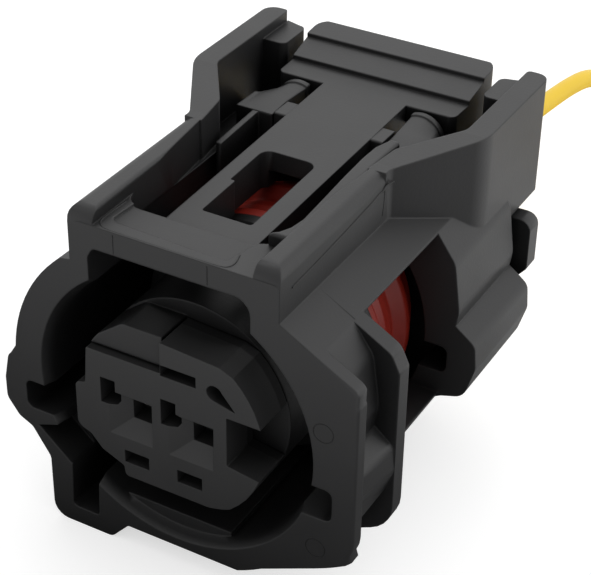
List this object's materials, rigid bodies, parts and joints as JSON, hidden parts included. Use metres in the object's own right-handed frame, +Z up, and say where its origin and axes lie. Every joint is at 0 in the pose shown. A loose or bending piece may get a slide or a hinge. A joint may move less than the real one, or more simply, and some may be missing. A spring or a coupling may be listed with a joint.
{
  "type": "sealed automotive connector",
  "caption": "Sealed female wire connector with a keyed hood round a socket tower, a rocking latch lever between flared guards, a red face seal and yellow wires.",
  "frame": {"origin": "on the mating axis, in the plane of the hood's rim", "axes": "+X to the right seen from the mating side, +Y along the mating axis towards the wires, +Z up through the latch"},
  "size_m": [0.0371, 0.0777, 0.025],
  "materials": {
    "housing_black": "satin moulded",
    "holder_black": "satin moulded",
    "seal_red": "soft satin silicone",
    "tin": "bright tinned",
    "copper": "bare copper strands",
    "wire_yellow": "smooth insulation",
    "tie_black": "satin"
  },
  "bodies": {
    "housing_body": {"housing": "housing_black", "interface_seal": "seal_red", "wire_seal_left": "seal_red", "wire_seal_right": "seal_red", "terminal_left": "tin", "terminal_right": "tin", "conductor_left": "copper", "conductor_right": "copper", "wire_left": "wire_yellow", "wire_right": "wire_yellow", "coil_left": "wire_yellow", "coil_right": "wire_yellow", "coil_tie_left": "tie_black", "coil_tie_right": "tie_black"},
    "lever_body": {"latch_lever": "housing_black"},
    "holder_body": {"front_holder": "holder_black"}
  },
  "joints": [
    {"name": "latch_press", "type": "hinge", "parent": "housing_body", "child": "lever_body", "pos_m": [0, 0.0196, 0.0102], "axis": [-1, 0, 0], "range_deg": [0, 5], "stiffness_Nm_per_rad": 0.02},
    {"name": "holder_slide", "type": "slide", "parent": "housing_body", "child": "holder_body", "axis": [0, -1, 0], "range_m": [0, 0.0012]}
  ]
}
